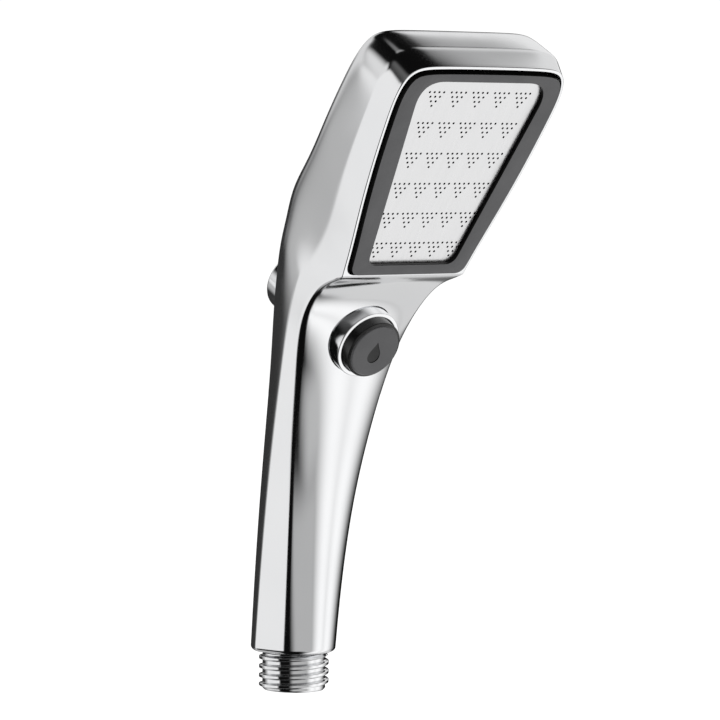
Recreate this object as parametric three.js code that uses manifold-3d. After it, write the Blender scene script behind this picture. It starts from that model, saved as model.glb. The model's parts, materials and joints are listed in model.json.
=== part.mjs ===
// Handheld shower head with a push-through stop button, as an assembly of separate pieces.
// Millimetres, +Z up along the inlet thread, -Y to the front, +X to the right seen from the front.
// The origin is the centre of the threaded stub's end face.
import * as THREE from 'three';
import { ParametricGeometry } from 'three/addons/geometries/ParametricGeometry.js';
import { mergeGeometries, mergeVertices } from 'three/addons/utils/BufferGeometryUtils.js';
import Module from 'manifold-3d';

const wasm = await Module();
wasm.setup();

// ---- driving dimensions ----
const GAP = 0.3; // clearance between neighbouring pieces
const SIDES = 20; // sides of a round piece
const FACE_TILT = 32.3; // degrees between the spray face and the thread axis
const FACE_Y = -49.91; // lower edge of the spray face
const FACE_Z = 126.76;
const HANDLE_END = 11.7; // height of the handle's lower end
const HANDLE_CHAMFER = 1.4; // the skin's first station lies this far above the end
const END_RADIUS = 12; // mean radius of the handle there
const WALL = 2.2; // casing wall
const LIP = 1.3; // width of the casing's rim around the face
const PUSH_TILT = 27.5; // degrees the push axis slopes down towards the front
const PUSH_Y = -37.12; // centre of the stop button's front face
const PUSH_Z = 103.74;
const VALVE_MID = 22; // distance from the button's face to the valve ports

// ---- frames ----
const rad = THREE.MathUtils.degToRad;

// the spray face's own frame: x across, y up the face, z out of it
function faceFrame() {
  const group = new THREE.Group();
  group.position.set(0, FACE_Y, FACE_Z);
  group.rotation.x = rad(90 + FACE_TILT);
  group.updateMatrixWorld();
  return group;
}

// the valve's own frame: z runs backwards along the push axis from the button's face
function valveFrame() {
  const group = new THREE.Group();
  group.position.set(0, PUSH_Y, PUSH_Z);
  group.rotation.x = -rad(90 - PUSH_TILT);
  group.updateMatrixWorld();
  return group;
}

const faceGroup = faceFrame();
const valveGroup = valveFrame();
const assembly = new THREE.Group();
assembly.add(faceGroup, valveGroup);

function onFace(x, y, z) {
  return faceGroup.localToWorld(new THREE.Vector3(x, y, z));
}

function onValve(x, y, z) {
  return valveGroup.localToWorld(new THREE.Vector3(x, y, z));
}

// ---- materials ----
function finish(color, roughness, metalness) {
  return () => new THREE.MeshStandardMaterial({ color, roughness, metalness });
}
const chrome = finish(0xd8dade, 0.06, 1.0);
const steel = finish(0xd2d4d6, 0.32, 1.0);
const anthracite = finish(0x4a4b4d, 0.5, 0.0);
const capGrey = finish(0x505153, 0.45, 0.0);
const whitePlastic = finish(0xe8e8e4, 0.5, 0.0);
const brass = finish(0xc8a45c, 0.35, 1.0);
const rubber = finish(0x1c1c1c, 0.8, 0.0);

function piece(parent, name, geometry, material) {
  const mesh = new THREE.Mesh(geometry, material());
  mesh.name = name;
  parent.add(mesh);
}

// ---- solids ----
// one closed body from geometries that share their borders
function weld(...geometries) {
  const bare = geometries.map((geometry) => {
    const copy = geometry.index ? geometry.toNonIndexed() : geometry.clone();
    copy.deleteAttribute('normal');
    copy.deleteAttribute('uv');
    return copy;
  });
  const welded = mergeVertices(mergeGeometries(bare), 1e-4);
  const kept = [];
  for (let i = 0; i < welded.index.count; i += 3) {
    const [a, b, c] = [0, 1, 2].map((k) => welded.index.getX(i + k));
    if (a !== b && b !== c && c !== a) kept.push(a, b, c);
  }
  welded.setIndex(kept);
  return welded;
}

function solid(...geometries) {
  const welded = weld(...geometries);
  const vertProperties = new Float32Array(welded.attributes.position.array);
  const triVerts = new Uint32Array(welded.index.array);
  return new wasm.Manifold(new wasm.Mesh({ numProp: 3, vertProperties, triVerts }));
}

function fromSolid(body) {
  const { vertProperties, triVerts } = body.getMesh();
  const geometry = new THREE.BufferGeometry();
  geometry.setAttribute('position', new THREE.BufferAttribute(vertProperties, 3));
  geometry.setIndex(new THREE.BufferAttribute(triVerts, 1));
  geometry.computeVertexNormals();
  return geometry;
}

// a turned piece about Z, from [radius, height] points that end on the axis or close on themselves
function turned(points, sides = SIDES) {
  const profile = points.map(([r, z]) => new THREE.Vector2(r, z));
  return new THREE.LatheGeometry(profile, sides).rotateX(Math.PI / 2);
}

// a ring of rectangular section about Z
function ring(inner, outer, low, high, sides = SIDES) {
  return turned([[inner, low], [outer, low], [outer, high], [inner, high], [inner, low]], sides);
}

function rod(radius, low, high, sides = SIDES) {
  const length = high - low;
  return new THREE.CylinderGeometry(radius, radius, length, sides)
    .rotateX(Math.PI / 2)
    .translate(0, 0, low + length / 2);
}

function seal(radius, thickness, height) {
  return new THREE.TorusGeometry(radius, thickness, 6, SIDES).translate(0, 0, height);
}

function slab(shape, low, high) {
  return new THREE.ExtrudeGeometry(shape, { depth: high - low, bevelEnabled: false, curveSegments: 5 })
    .translate(0, 0, low);
}

function pipe(points, outer, inner, steps) {
  const section = new THREE.Shape();
  section.absarc(0, 0, outer, 0, 2 * Math.PI);
  const bore = new THREE.Path();
  bore.absarc(0, 0, inner, 0, 2 * Math.PI, true);
  section.holes.push(bore);
  const extrudePath = new THREE.CatmullRomCurve3(points);
  return new THREE.ExtrudeGeometry(section, { steps, extrudePath, curveSegments: 6 });
}

// ---- the casing's guide curves ----
// Stations run up the handle, along the head's side and over its top to the middle. Each holds
// front: middle of the front, crease: front edge, belt: widest line, corner and back: the rear
// edge and the middle of the rear, pinch: how square the rear edge is.
const at = (x, y, z) => new THREE.Vector3(x, y, z);

// a station of the handle; the heights are those of its front, its belt and its rear
function onHandle([frontZ, beltZ, backZ], frontY, [creaseX, creaseY], [beltX, beltY], backY, cornerX, pinch) {
  return {
    front: at(0, frontY, frontZ),
    crease: at(creaseX, creaseY, frontZ),
    belt: at(beltX, beltY, beltZ),
    back: at(0, backY, backZ),
    corner: at(cornerX, backY, backZ),
    pinch,
  };
}

// a station of the head, in the face's frame
function onHead(frontY, [creaseX, creaseY], belt, [backY, backZ], corner, pinch) {
  return {
    front: onFace(0, frontY, 0),
    crease: onFace(creaseX, creaseY, 0),
    belt: onFace(...belt),
    back: onFace(0, backY, backZ),
    corner: onFace(...corner),
    pinch,
  };
}

const STATIONS = [
  onHandle([13.1, 13.1, 13.1], -12.8, [9.9, -7.7], [12.5, 2.6], 12.1, 12.6, 0.7),
  onHandle([32, 32, 32], -14, [10.6, -9.3], [12.1, 1.4], 11.5, 12.2, 0.7),
  onHandle([57, 57, 57], -16.8, [12.2, -12.5], [12.9, -2.4], 8.9, 13, 0.7),
  onHandle([79.5, 80, 80], -21.5, [14.9, -17.2], [15.1, -8.6], 4.6, 15.2, 0.72),
  onHandle([100.9, 100, 101], -27.3, [17.7, -23.6], [18.2, -16.4], -0.8, 18.2, 0.85),
  onHandle([114.6, 115, 117], -33, [21.4, -29.8], [20.9, -22.4], -5, 20.7, 1.1),
  onHandle([123.2, 125, 128], -40.7, [22.4, -39.1], [22, -27.8], -8.8, 21.6, 1.5),
  onHandle([125.1, 128.2, 137], -46.9, [23, -46.8], [22.2, -31], -13, 22.2, 2.2),
  onHead(-0.7, [22.6, -0.7], [22.8, -3, -13.6], [-1.5, -36], [23, -1.5, -36], 3.2),
  onHead(9, [23.9, 9], [24.4, 7.5, -11.6], [8, -36], [24, 8, -36], 5),
  onHead(20, [26.6, 23], [27.5, 23, -10.6], [22, -30], [26.5, 22, -30], 7),
  onHead(28, [28.8, 38], [30, 38, -8.3], [32, -28], [28.8, 37, -27.4], 8),
  onHead(35, [30.1, 52], [31.4, 52, -6.8], [40, -26.4], [30.4, 52, -24.8], 8),
  onHead(40, [30.8, 62], [32.3, 63, -6.3], [45, -25.4], [31.6, 62.5, -22.3], 8),
  onHead(42, [28.2, 69.6], [30.6, 71.3, -6.8], [48, -24.8], [30.2, 70.6, -20.2], 8),
  onHead(43, [19, 70.3], [20, 71.6, -7.6], [49, -24.6], [20, 71.2, -19.9], 8),
  onHead(43, [0, 70.4], [0, 71.5, -7.8], [49.5, -24.5], [0, 71.2, -19.8], 8),
];
const TOP = STATIONS.length - 1; // last station, on the plane of symmetry
const FACE_START = 8; // station at the lower edge of the spray face, where the front guides bend

// uniform cubic B-spline weights
function splineWeights(f) {
  const sixths = [(1 - f) ** 3, 3 * f ** 3 - 6 * f ** 2 + 4, -3 * f ** 3 + 3 * f ** 2 + 3 * f + 1, f ** 3];
  return sixths.map((weight) => weight / 6);
}

function stationPoint(key, index) {
  if (index <= TOP) return STATIONS[index][key].clone();
  const point = STATIONS[2 * TOP - index][key].clone();
  point.x *= -1; // past the top the guides come down the other side
  return point;
}

// a station that carries a guide straight on past its end
function beyond(key, end, index) {
  return stationPoint(key, end).multiplyScalar(2).sub(stationPoint(key, 2 * end - index));
}

// a point of a guide; the front and the crease turn a sharp corner at the face's lower edge
function guide(key, t) {
  const first = Math.min(Math.floor(t), TOP - 1);
  const weights = splineWeights(t - first);
  const bends = key === 'front' || key === 'crease';
  const sum = new THREE.Vector3();
  for (let k = 0; k < 4; k += 1) {
    const index = first + k - 1;
    const pastBend = first < FACE_START ? index > FACE_START : index < FACE_START;
    let point;
    if (index < 0) point = beyond(key, 0, index);
    else if (bends && pastBend) point = beyond(key, FACE_START, index);
    else point = stationPoint(key, index);
    sum.addScaledVector(point, weights[k]);
  }
  return sum;
}

function pinchAt(t) {
  const first = Math.min(Math.floor(t), TOP - 1);
  const weights = splineWeights(t - first);
  return weights.reduce((sum, weight, k) => {
    const index = THREE.MathUtils.clamp(first + k - 1, 0, TOP);
    return sum + weight * STATIONS[index].pinch;
  }, 0);
}

// a guide point moved inwards from the skin
function insetGuide(key, t, inset) {
  const point = guide(key, t);
  const middle = guide('front', t).lerp(guide('back', t), 0.5);
  const pull = { front: 1, crease: 1.35, belt: 1.05, back: 1, corner: 1.35 }[key];
  return point.add(middle.sub(point).setLength(inset * pull));
}

function conic(a, corner, b, weight, f) {
  const wa = (1 - f) ** 2;
  const wc = 2 * f * (1 - f) * weight;
  const wb = f ** 2;
  return new THREE.Vector3()
    .addScaledVector(a, wa)
    .addScaledVector(corner, wc)
    .addScaledVector(b, wb)
    .divideScalar(wa + wc + wb);
}

// a point of the left half's skin: w is 0 to 1 over the front, 1 to 2 over the side, 2 to 3 behind
function skin(t, w, inset) {
  const crease = insetGuide('crease', t, inset);
  if (w <= 1) {
    const front = insetGuide('front', t, inset);
    const crown = at(0.6 * crease.x, front.y, front.z);
    return conic(front, crown, crease, 1, w);
  }
  const belt = insetGuide('belt', t, inset);
  if (w <= 2) return crease.lerp(belt, w - 1);
  return conic(belt, insetGuide('corner', t, inset), insetGuide('back', t, inset), pinchAt(t), w - 2);
}

// a closed body inside the skin from station start to the top, with a flat or chamfered lower end
function skinBody(start, inset, chamfer, rowsPerStation, frontSteps, sideSteps, rearSteps) {
  const endRows = chamfer > 0 ? 2 : 1;
  const rows = (TOP - start) * rowsPerStation + endRows;
  const columns = frontSteps + sideSteps + rearSteps;
  const around = (column) => {
    if (column <= frontSteps) return column / frontSteps;
    if (column <= frontSteps + sideSteps) return 1 + (column - frontSteps) / sideSteps;
    return 2 + (column - frontSteps - sideSteps) / rearSteps;
  };
  const half = new ParametricGeometry((u, v, target) => {
    const w = around(Math.round(u * columns));
    const row = Math.round(v * rows) - endRows;
    const point = skin(start + Math.max(row, 0) / rowsPerStation, w, inset);
    if (row < 0) {
      const middle = insetGuide('front', start, inset).lerp(insetGuide('back', start, inset), 0.5);
      const scale = row === -endRows ? 0 : 1 - chamfer / END_RADIUS;
      point.sub(middle).multiplyScalar(scale).add(middle);
      point.z -= chamfer;
    }
    if (w === 0 || w === 3 || point.x < 1e-6) point.x = 0;
    target.copy(point);
  }, columns, rows);
  const other = half.clone().scale(-1, 1, 1);
  const order = other.index.array;
  for (let i = 0; i < order.length; i += 3) [order[i], order[i + 1]] = [order[i + 1], order[i]];
  return solid(half, other);
}

// ---- outlines on the spray face ----
// the rim's outline moved inwards, as a shape in the face's frame
function rimShape(inset, cornerRadius) {
  const side = [];
  for (let t = FACE_START + 0.5; t <= TOP + 1e-6; t += 0.5) {
    const here = faceGroup.worldToLocal(guide('crease', t));
    const ahead = faceGroup.worldToLocal(guide('crease', Math.min(t + 0.01, TOP)));
    const behind = faceGroup.worldToLocal(guide('crease', Math.max(t - 0.01, 0)));
    const inward = new THREE.Vector2(-(ahead.y - behind.y), ahead.x - behind.x).normalize();
    side.push(new THREE.Vector2(here.x + inset * inward.x, here.y + inset * inward.y));
  }
  side[side.length - 1].x = 0;
  const low = inset - LIP;
  const foot = side[0].x - (side[1].x - side[0].x) * (side[0].y - low) / (side[1].y - side[0].y);
  const shape = new THREE.Shape();
  shape.moveTo(-(foot - cornerRadius), low);
  shape.lineTo(foot - cornerRadius, low);
  shape.quadraticCurveTo(foot, low, foot + 0.14 * cornerRadius, low + cornerRadius);
  side.forEach((p) => shape.lineTo(p.x, p.y));
  side.slice(0, -1).reverse().forEach((p) => shape.lineTo(-p.x, p.y));
  shape.lineTo(-(foot + 0.14 * cornerRadius), low + cornerRadius);
  shape.quadraticCurveTo(-foot, low, -(foot - cornerRadius), low);
  return shape;
}

// a rounded trapezium on the face, wider at the top
function trapezium(lowHalf, highHalf, low, high, lowRadius, highRadius) {
  const slope = (highHalf - lowHalf) / (high - low);
  const shape = new THREE.Shape();
  shape.moveTo(lowRadius - lowHalf, low);
  shape.lineTo(lowHalf - lowRadius, low);
  shape.quadraticCurveTo(lowHalf, low, lowHalf + slope * lowRadius, low + lowRadius);
  shape.lineTo(highHalf - slope * highRadius, high - highRadius);
  shape.quadraticCurveTo(highHalf, high, highHalf - highRadius, high);
  shape.lineTo(highRadius - highHalf, high);
  shape.quadraticCurveTo(-highHalf, high, slope * highRadius - highHalf, high - highRadius);
  shape.lineTo(-lowHalf - slope * lowRadius, low + lowRadius);
  shape.quadraticCurveTo(-lowHalf, low, lowRadius - lowHalf, low);
  return shape;
}

// the window of the face ring, grown or shrunk all round
function windowShape(grow) {
  return trapezium(16 + grow, 23.9 + grow, 3.9 - grow, 65.9 + grow, 3.2 + grow, 8.5 + grow);
}

// ---- head pieces, in the face's frame ----
const RING_FRONT = 1; // the ring stands proud of the casing's rim
const RING_BACK = -3.6;
const PLATE_FRONT = -0.2;
const PLATE_BACK = -1;
const REBATE = 1.8; // how far the plate runs under the ring
const HOLE_RADIUS = 0.42; // three-sided holes stand in for round ones of 0.7
const TRAY_FRONT = -4.4;
const TRAY_BACK = -9;
const TRAY_FLOOR = 1.6;
const BOSS = { y: 20, outer: 6, inner: 3.6, end: -13 };
// x, y and the foot of the screw's post
const SCREW_PLACES = [[-16, 56, -22.2], [16, 56, -22.2], [-12.5, 9.5, -32.6], [12.5, 9.5, -32.6]];
const SCREW = { headRadius: 2.4, headTop: -5.4, shankRadius: 1.3, end: -19, post: 3.2 };

function faceRing() {
  const outer = solid(slab(rimShape(LIP + 0.6, 3.2), RING_BACK, RING_FRONT));
  const opening = solid(slab(windowShape(0), RING_BACK - 1, RING_FRONT + 1));
  const rebate = solid(slab(windowShape(REBATE + GAP), RING_BACK - 1, PLATE_FRONT + 0.2));
  return fromSolid(outer.subtract(opening).subtract(rebate));
}

// 6 rows of 5 groups, each a triangle of 4 + 3 + 2 + 1 holes pointing down
function holePlaces() {
  const pitch = 1.734;
  const rowStep = pitch * Math.sqrt(3) / 2;
  const places = [];
  for (let row = 0; row < 6; row += 1) {
    const top = 10.75 + 10.2 * row;
    const groupStep = 6.98 + 0.2 * row;
    for (let group = -2; group <= 2; group += 1) {
      for (let line = 0; line < 4; line += 1) {
        const start = group * groupStep - ((3 - line) / 2) * pitch;
        for (let k = 0; k < 4 - line; k += 1) places.push([start + k * pitch, top - line * rowStep]);
      }
    }
  }
  return places;
}

function sprayPlate() {
  const plate = solid(slab(windowShape(REBATE), PLATE_BACK, PLATE_FRONT));
  const drill = rod(HOLE_RADIUS, PLATE_BACK - 1, PLATE_FRONT + 1, 3);
  const drills = holePlaces().map(([x, y]) => drill.clone().translate(x, y, 0));
  return fromSolid(plate.subtract(solid(...drills)));
}

function plateGasket() {
  const outer = solid(slab(windowShape(REBATE), TRAY_FRONT + GAP, PLATE_BACK - GAP));
  const inner = solid(slab(windowShape(-0.4), TRAY_FRONT, PLATE_BACK));
  return fromSolid(outer.subtract(inner));
}

// the tray that spreads water behind the plate, with the inlet boss behind
function distributor() {
  const tray = solid(slab(windowShape(REBATE), TRAY_BACK, TRAY_FRONT));
  const hollow = solid(slab(windowShape(0), TRAY_BACK + TRAY_FLOOR, TRAY_FRONT + 1));
  const boss = solid(rod(BOSS.outer, BOSS.end, TRAY_BACK + 0.5).translate(0, BOSS.y, 0));
  let body = tray.subtract(hollow).add(boss);
  body = body.subtract(solid(rod(BOSS.inner, BOSS.end - 1, TRAY_FRONT + 1).translate(0, BOSS.y, 0)));
  SCREW_PLACES.forEach(([x, y]) => {
    const hole = rod(SCREW.shankRadius + GAP, TRAY_BACK - 1, TRAY_FRONT, 12);
    body = body.subtract(solid(hole.translate(x, y, 0)));
  });
  return fromSolid(body);
}

function headScrew(x, y) {
  const { headRadius, headTop, shankRadius, end } = SCREW;
  const under = TRAY_BACK + TRAY_FLOOR + GAP / 3;
  const screw = turned([[0, end], [shankRadius * 0.5, end], [shankRadius, end + 1.5], [shankRadius, under],
    [headRadius, under], [headRadius, headTop - 0.5], [headRadius - 0.5, headTop], [0, headTop]], 12);
  const slotDepth = 0.8;
  const slots = [0, Math.PI / 2].map((turn) =>
    solid(new THREE.BoxGeometry(3, 0.7, 2 * slotDepth).rotateZ(turn).translate(0, 0, headTop)));
  const driven = slots.reduce((body, slot) => body.subtract(slot), solid(screw));
  return fromSolid(driven).translate(x, y, 0);
}

// ---- casing ----
const SOCKET = { radius: 9.6, top: 37 };
const COLLAR_RADIUS = 10.7;
const REAR_RADIUS = 10.5;
const VALVE_RADIUS = 8.5;
const SKIRT_FRONT = 29.8; // where the rear collar's skirt starts, behind the ports

function casing() {
  const outer = skinBody(0, 0, HANDLE_CHAMFER, 2, 4, 1, 8);
  const hollow = skinBody(1, WALL, 0, 1, 2, 1, 6);
  let body = outer.subtract(hollow);
  SCREW_PLACES.forEach(([x, y, foot]) => {
    const post = rod(SCREW.post, foot, TRAY_BACK - GAP, 12).translate(x, y, 0);
    body = body.add(solid(post.applyMatrix4(faceGroup.matrixWorld)));
  });
  const cuts = [
    slab(rimShape(LIP, 3.6), TRAY_BACK - GAP, 4).applyMatrix4(faceGroup.matrixWorld),
    rod(SOCKET.radius, HANDLE_END - 5, SOCKET.top),
    rod(COLLAR_RADIUS + GAP, -2, VALVE_MID - 6).applyMatrix4(valveGroup.matrixWorld),
    rod(REAR_RADIUS + GAP, SKIRT_FRONT - GAP, 60).applyMatrix4(valveGroup.matrixWorld),
  ];
  SCREW_PLACES.forEach(([x, y]) => {
    const pilot = rod(SCREW.shankRadius + GAP, SCREW.end - 1, 0, 12).translate(x, y, 0);
    cuts.push(pilot.applyMatrix4(faceGroup.matrixWorld));
  });
  cuts.forEach((cut) => {
    body = body.subtract(solid(cut));
  });
  return fromSolid(body);
}

// ---- inlet pieces ----
const CREST = 10.48; // G 1/2 thread, outside radius
const ROOT = 9.45;
const PITCH = 2.76;
const BORE = 7.2;
const ADAPTER_TOP = 30;

function inletAdapter() {
  const profile = [[BORE, 0], [ROOT - 0.5, 0], [ROOT, 0.5]];
  for (let k = 0; k < 4; k += 1) {
    const z = 0.9 + k * PITCH;
    profile.push([ROOT, z], [CREST, z + 0.75], [CREST, z + 1.15], [ROOT, z + 1.9]);
  }
  profile.push([9.2, 11.2], [9.2, 19.6], [7.9, 19.6], [7.9, 22.2], [9.2, 22.2], [9.2, ADAPTER_TOP - 0.6],
    [8.6, ADAPTER_TOP], [5.2, ADAPTER_TOP], [5.2, 12.7], [BORE, 12.7], [BORE, 0]);
  return turned(profile, 24);
}

function flowLimiter() {
  let body = solid(ring(1.4, BORE - GAP, 9.6, 12.4));
  const holes = 6;
  for (let k = 0; k < holes; k += 1) {
    const hole = rod(0.9, 9, 13, 8).translate(4.2, 0, 0).rotateZ((k * 2 * Math.PI) / holes);
    body = body.subtract(solid(hole));
  }
  return fromSolid(body);
}

// a round screen of crossed bars in a rim
function filterScreen() {
  let body = solid(ring(5.9, BORE - GAP, 8.3, 9.3));
  for (let k = -1; k <= 1; k += 1) {
    const bar = new THREE.BoxGeometry(12.2, 0.5, 0.5).translate(0, k * 3, 8.8);
    body = body.add(solid(bar)).add(solid(bar.clone().rotateZ(Math.PI / 2)));
  }
  return fromSolid(body);
}

// ---- valve pieces, in the valve's frame ----
const PORT = { outer: 7.2, inner: 4.4, reach: 14 };
const WASHER = 1;
const SPOOL_BORE = 5.3;

function dropShape(size) {
  const shape = new THREE.Shape();
  shape.moveTo(0, 1.7 * size);
  shape.bezierCurveTo(0.35 * size, 0.9 * size, size, 0.3 * size, size, -0.45 * size);
  shape.absarc(0, -0.45 * size, size, 0, -Math.PI, true);
  shape.bezierCurveTo(-size, 0.3 * size, -0.35 * size, 0.9 * size, 0, 1.7 * size);
  return shape;
}

// the button's cap, with a drop let into its face
function stopButton() {
  const cap = turned([[0, 0], [8.6, 0], [9.1, 0.5], [9.1, 7.2], [7.7, 7.2], [7.7, 1.8], [3.4, 1.8],
    [3.4, 8], [2, 8], [2, 3], [0, 3]]);
  const drop = slab(dropShape(2.2), 0, 1.4)
    .rotateX(Math.PI)
    .translate(0, 0.8, 0.4);
  return fromSolid(solid(cap).subtract(solid(drop)));
}

function frontCollar() {
  return turned([[9.5, 3.6], [COLLAR_RADIUS - 0.3, 3.6], [COLLAR_RADIUS, 3.9], [COLLAR_RADIUS, 13], [6.2, 13],
    [6.2, 11], [9.5, 11], [9.5, 3.6]], 28);
}

// the rear collar reaches forward as a skirt round the valve body
function rearCollar() {
  return turned([[9.5, 43], [9.5, 36.5], [6.2, 36.5], [6.2, 34], [VALVE_RADIUS + GAP, 34],
    [VALVE_RADIUS + GAP, SKIRT_FRONT], [REAR_RADIUS, SKIRT_FRONT], [REAR_RADIUS, 42.2],
    [REAR_RADIUS - 0.8, 43], [9.5, 43]], 28);
}

function rearButton() {
  return turned([[0, 42.6], [0, 40.5], [2, 40.5], [2, 37], [3.4, 37], [3.4, 40.8], [7.7, 40.8], [7.7, 36.8],
    [9.1, 36.8], [9.1, 42.1], [8.6, 42.6], [0, 42.6]]);
}

function valveBody() {
  const barrel = solid(rod(VALVE_RADIUS, 13 + GAP, 34 - GAP));
  const across = (radius, reach) =>
    solid(new THREE.CylinderGeometry(radius, radius, 2 * reach, 16).translate(0, 0, VALVE_MID));
  return fromSolid(
    barrel
      .add(across(PORT.outer, PORT.reach))
      .subtract(across(PORT.inner, PORT.reach + 1))
      .subtract(solid(rod(SPOOL_BORE, 10, 40))),
  );
}

const SEAL_PLACES = [16.7, 28, 31.2];

function valveSpool() {
  const profile = [[0, 3.3], [1.7, 3.3], [1.7, 8.3], [3, 8.3], [3, 14.4], [5, 14.4]];
  SEAL_PLACES.forEach((z, k) => {
    profile.push([5, z - 1.1], [3.6, z - 1.1], [3.6, z + 1.1], [5, z + 1.1]);
    if (k === 0) profile.push([5, 19], [3, 19.6], [3, 25.2], [5, 25.8]);
  });
  profile.push([5, 33.4], [3, 33.4], [3, 36.7], [1.7, 36.7], [1.7, 40.2], [0, 40.2]);
  return turned(profile);
}

// ---- assembly ----
piece(assembly, 'casing', casing(), chrome);
piece(faceGroup, 'face_ring', faceRing(), anthracite);
piece(faceGroup, 'spray_plate', sprayPlate(), steel);
piece(faceGroup, 'plate_gasket', plateGasket(), rubber);
piece(faceGroup, 'distributor', distributor(), whitePlastic);
SCREW_PLACES.forEach(([x, y], k) => piece(faceGroup, `head_screw_${k + 1}`, headScrew(x, y), steel));

piece(assembly, 'inlet_adapter', inletAdapter(), chrome);
piece(assembly, 'inlet_seal', seal(8.72, 0.72, 20.9), rubber);
piece(assembly, 'flow_limiter', flowLimiter(), whitePlastic);
piece(assembly, 'filter_screen', filterScreen(), steel);

piece(valveGroup, 'valve_body', valveBody(), brass);
piece(valveGroup, 'front_collar', frontCollar(), chrome);
piece(valveGroup, 'rear_collar', rearCollar(), chrome);
piece(valveGroup, 'stop_button', stopButton(), capGrey);
piece(valveGroup, 'rear_button', rearButton(), capGrey);
piece(valveGroup, 'valve_spool', valveSpool(), brass);
SEAL_PLACES.forEach((z, k) => piece(valveGroup, `spool_seal_${k + 1}`, seal(4.43, 0.74, z), rubber));

const PORT_END = PORT.reach + GAP + WASHER + GAP; // where a tube meets the valve's port
const portWasher = () => ring(PORT.inner, 6, 0, WASHER, 16).rotateX(-Math.PI / 2);
const lowerWasher = portWasher().translate(0, PORT.reach + GAP, VALVE_MID);
const upperWasher = portWasher().translate(0, -PORT.reach - GAP - WASHER, VALVE_MID);
piece(valveGroup, 'lower_tube_seal', lowerWasher, rubber);
piece(valveGroup, 'upper_tube_seal', upperWasher, rubber);

piece(assembly, 'lower_tube', pipe([
  at(0, 0, ADAPTER_TOP + GAP), at(0, -0.5, 44), at(0, -2.6, 62), at(0, -6, 82),
  onValve(0, PORT_END + 4, VALVE_MID), onValve(0, PORT_END, VALVE_MID),
], 6, PORT.inner, 10), whitePlastic);
piece(assembly, 'upper_tube', pipe([
  onValve(0, -PORT_END, VALVE_MID), onValve(0, -PORT_END - 3, VALVE_MID), onFace(0, 6.5, -22),
  onFace(0, 14, -21.6), onFace(0, BOSS.y - 0.8, -18.6), onFace(0, BOSS.y, BOSS.end - 2.5),
  onFace(0, BOSS.y, BOSS.end - 2 * GAP),
], 5, 3.6, 12), whitePlastic);

export default assembly;
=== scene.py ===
import json
from math import cos, floor, pi, radians, sin, sqrt

import bmesh
import bpy
from mathutils import Matrix, Vector


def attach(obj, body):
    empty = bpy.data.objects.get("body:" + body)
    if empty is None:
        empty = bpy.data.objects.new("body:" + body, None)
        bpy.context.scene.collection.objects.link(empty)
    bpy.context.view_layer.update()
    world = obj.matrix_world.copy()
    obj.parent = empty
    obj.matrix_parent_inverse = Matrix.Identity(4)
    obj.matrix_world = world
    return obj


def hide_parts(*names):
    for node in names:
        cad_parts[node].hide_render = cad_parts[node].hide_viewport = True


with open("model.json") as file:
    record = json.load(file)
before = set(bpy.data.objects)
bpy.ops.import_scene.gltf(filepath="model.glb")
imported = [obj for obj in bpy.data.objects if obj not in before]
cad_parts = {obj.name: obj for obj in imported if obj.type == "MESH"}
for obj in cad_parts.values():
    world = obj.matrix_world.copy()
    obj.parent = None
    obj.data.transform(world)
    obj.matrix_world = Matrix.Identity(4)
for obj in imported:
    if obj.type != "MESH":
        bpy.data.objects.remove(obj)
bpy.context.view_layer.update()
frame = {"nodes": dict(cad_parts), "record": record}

# Shapes are worked out in millimetres and turned to metres when a piece is finished.
MM = 0.001
GAP = 0.3  # clearance between pieces that fit into one another
MERGE = 1e-4  # points nearer than this are one point
SLIVER = 1e-5
UP = Vector((0, 0, 1))

# ---- frames of the spray face and of the valve ----
# Face: X across, Y up the face from its lower edge, Z out of it.
# Valve: Z runs back through the neck from the front of the stop button.
FACE_TILT = 32.3
FACE_FOOT = (0, -49.91, 126.76)
FACE = Matrix.Translation(FACE_FOOT) @ Matrix.Rotation(radians(90 + FACE_TILT), 4, "X")
PUSH_TILT = 27.5
BUTTON_MIDDLE = (0, -37.12, 103.74)
VALVE = Matrix.Translation(BUTTON_MIDDLE) @ Matrix.Rotation(-radians(90 - PUSH_TILT), 4, "X")


# ---- camera ----
CAMERA_PLACE = (-0.70286, -0.90273, 0.17277)
CAMERA_AIM = (0.62597, 0.77721, -0.0641)
CAMERA_UP = (0.0313, 0.0571, 0.99788)
SENSOR_WIDTH = 36
FOCAL_LENGTH = 191.5
NEAREST = 0.05
FARTHEST = 20


def set_camera():
    data = bpy.data.cameras.new("camera")
    data.sensor_width = SENSOR_WIDTH
    data.lens = FOCAL_LENGTH
    data.clip_start = NEAREST
    data.clip_end = FARTHEST
    camera = bpy.data.objects.new("camera", data)
    forward = Vector(CAMERA_AIM).normalized()
    up = Vector(CAMERA_UP)
    right = forward.cross(up).normalized()
    up = right.cross(forward)
    turn = Matrix((right, up, -forward)).transposed().to_4x4()
    camera.matrix_world = Matrix.Translation(CAMERA_PLACE) @ turn
    bpy.context.scene.collection.objects.link(camera)
    bpy.context.scene.camera = camera


set_camera()


# ---- mesh helpers ----
def new_object(name, bm):
    mesh = bpy.data.meshes.new(name)
    bm.to_mesh(mesh)
    bm.free()
    item = bpy.data.objects.new(name, mesh)
    bpy.context.scene.collection.objects.link(item)
    return item


def combine(bm, tools, operation="DIFFERENCE"):
    """Cuts the tools out of bm one after another, or joins them to it."""
    base = new_object("base", bm)
    cutters = [new_object("tool", tool) for tool in tools]
    for cutter in cutters:
        modifier = base.modifiers.new("cut", "BOOLEAN")
        modifier.operation = operation
        modifier.solver = "MANIFOLD"
        modifier.object = cutter
    graph = bpy.context.evaluated_depsgraph_get()
    result = bpy.data.meshes.new_from_object(base.evaluated_get(graph))
    for item in [base] + cutters:
        mesh = item.data
        bpy.data.objects.remove(item)
        bpy.data.meshes.remove(mesh)
    out = bmesh.new()
    out.from_mesh(result)
    bpy.data.meshes.remove(result)
    return out


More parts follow.
